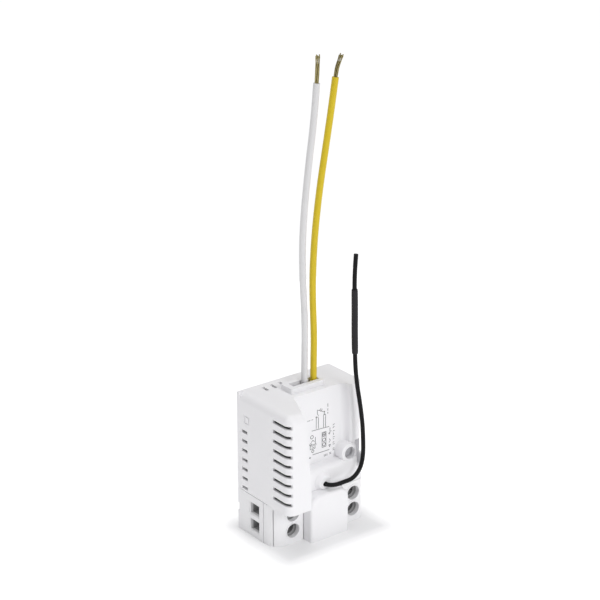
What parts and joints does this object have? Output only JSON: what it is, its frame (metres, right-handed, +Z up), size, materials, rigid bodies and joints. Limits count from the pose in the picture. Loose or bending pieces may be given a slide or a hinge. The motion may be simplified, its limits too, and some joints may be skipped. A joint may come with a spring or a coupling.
{
  "type": "smart relay module",
  "caption": "Compact in-wall relay module with a vented stepped housing, rising-cage screw terminals, a sprung program button, two stiff leads and a wire antenna.",
  "frame": {"origin": "under the middle of the body's rectangle, on the base", "axes": "+Z up along the leads, +Y to the flat back, -Y to the label side with the button, -X to the vented side"},
  "size_m": [0.0324, 0.0242, 0.1353],
  "materials": {
    "housing_plastic": "fine matt moulded, white",
    "terminal_plastic": "matt moulded, white",
    "plated_steel": "zinc plated",
    "screw_steel": "plated, slotted",
    "contact_brass": "tinned brass",
    "board_laminate": "solder mask",
    "relay_plastic": "matt",
    "bobbin_plastic": "matt",
    "winding_wire": "enamelled wire",
    "soft_iron": "plated",
    "can_sleeve": "shrunk sleeve",
    "film_plastic": "moulded",
    "varistor_coat": "dipped",
    "fuse_coat": "painted",
    "ferrite": "sintered",
    "chip_plastic": "moulded",
    "light_lens": "clear",
    "switch_plastic": "moulded",
    "plunger_plastic": "moulded",
    "button_plastic": "satin, light grey",
    "white_insulation": "satin",
    "yellow_insulation": "satin",
    "strand_copper": "bare strands",
    "black_insulation": "matt",
    "black_sleeve": "shrunk tube"
  },
  "bodies": {
    "housing": {"front_cover": "housing_plastic", "back_cover": "housing_plastic", "left_terminal_block": "terminal_plastic", "right_terminal_block": "terminal_plastic", "contact_left_low": "contact_brass", "contact_left_high": "contact_brass", "contact_right_low": "contact_brass", "contact_right_high": "contact_brass", "circuit_board": "board_laminate", "relay_case": "relay_plastic", "relay_base": "relay_plastic", "relay_bobbin": "bobbin_plastic", "relay_winding": "winding_wire", "relay_core": "soft_iron", "relay_yoke": "soft_iron", "relay_contact": "contact_brass", "smoothing_capacitor": "can_sleeve", "film_capacitor": "film_plastic", "varistor": "varistor_coat", "fuse_resistor": "fuse_coat", "inductor": "ferrite", "inductor_winding": "winding_wire", "power_chip": "chip_plastic", "controller_chip": "chip_plastic", "radio_board": "board_laminate", "radio_shield": "plated_steel", "crystal": "plated_steel", "status_light": "light_lens", "push_switch": "switch_plastic", "lead_header": "terminal_plastic", "white_lead": "white_insulation", "white_strands": "strand_copper", "yellow_lead": "yellow_insulation", "yellow_strands": "strand_copper", "antenna_wire": "black_insulation", "antenna_sleeve": "black_sleeve"},
    "cage_left_low": {"cage_left_low": "plated_steel"},
    "cage_left_high": {"cage_left_high": "plated_steel"},
    "cage_right_low": {"cage_right_low": "plated_steel"},
    "cage_right_high": {"cage_right_high": "plated_steel"},
    "screw_left_low": {"screw_left_low": "screw_steel"},
    "screw_left_high": {"screw_left_high": "screw_steel"},
    "screw_right_low": {"screw_right_low": "screw_steel"},
    "screw_right_high": {"screw_right_high": "screw_steel"},
    "program_button": {"program_button": "button_plastic", "switch_plunger": "plunger_plastic"},
    "relay_armature": {"relay_armature": "soft_iron"}
  },
  "joints": [
    {"name": "screw_left_low_turn", "type": "hinge", "parent": "housing", "child": "screw_left_low", "pos_m": [-0.0097, 0, 0.004], "axis": [0, 1, 0], "range_deg": [0, 1800]},
    {"name": "screw_left_high_turn", "type": "hinge", "parent": "housing", "child": "screw_left_high", "pos_m": [-0.0097, 0, 0.00908], "axis": [0, 1, 0], "range_deg": [0, 1800]},
    {"name": "screw_right_low_turn", "type": "hinge", "parent": "housing", "child": "screw_right_low", "pos_m": [0.0118, 0, 0.004], "axis": [0, 1, 0], "range_deg": [0, 1800]},
    {"name": "screw_right_high_turn", "type": "hinge", "parent": "housing", "child": "screw_right_high", "pos_m": [0.0118, 0, 0.00908], "axis": [0, 1, 0], "range_deg": [0, 1800]},
    {"name": "cage_left_low_rise", "type": "slide", "parent": "housing", "child": "cage_left_low", "axis": [0, -1, 0], "range_m": [0, 0.00225]},
    {"name": "cage_left_high_rise", "type": "slide", "parent": "housing", "child": "cage_left_high", "axis": [0, -1, 0], "range_m": [0, 0.00225]},
    {"name": "cage_right_low_rise", "type": "slide", "parent": "housing", "child": "cage_right_low", "axis": [0, -1, 0], "range_m": [0, 0.00225]},
    {"name": "cage_right_high_rise", "type": "slide", "parent": "housing", "child": "cage_right_high", "axis": [0, -1, 0], "range_m": [0, 0.00225]},
    {"name": "button_press", "type": "slide", "parent": "housing", "child": "program_button", "axis": [0, 1, 0], "range_m": [0, 0.0005], "stiffness_N_per_m": 3000},
    {"name": "armature_pull", "type": "hinge", "parent": "housing", "child": "relay_armature", "pos_m": [-0.01175, -0.00027, 0.02675], "axis": [-1, 0, 0], "range_deg": [0, 4], "stiffness_Nm_per_rad": 0.002}
  ],
  "couplings": [
    {"joint": "screw_left_low_turn", "follows": "cage_left_low_rise", "rad_per_m": 13963},
    {"joint": "screw_left_high_turn", "follows": "cage_left_high_rise", "rad_per_m": 13963},
    {"joint": "screw_right_low_turn", "follows": "cage_right_low_rise", "rad_per_m": 13963},
    {"joint": "screw_right_high_turn", "follows": "cage_right_high_rise", "rad_per_m": 13963}
  ]
}
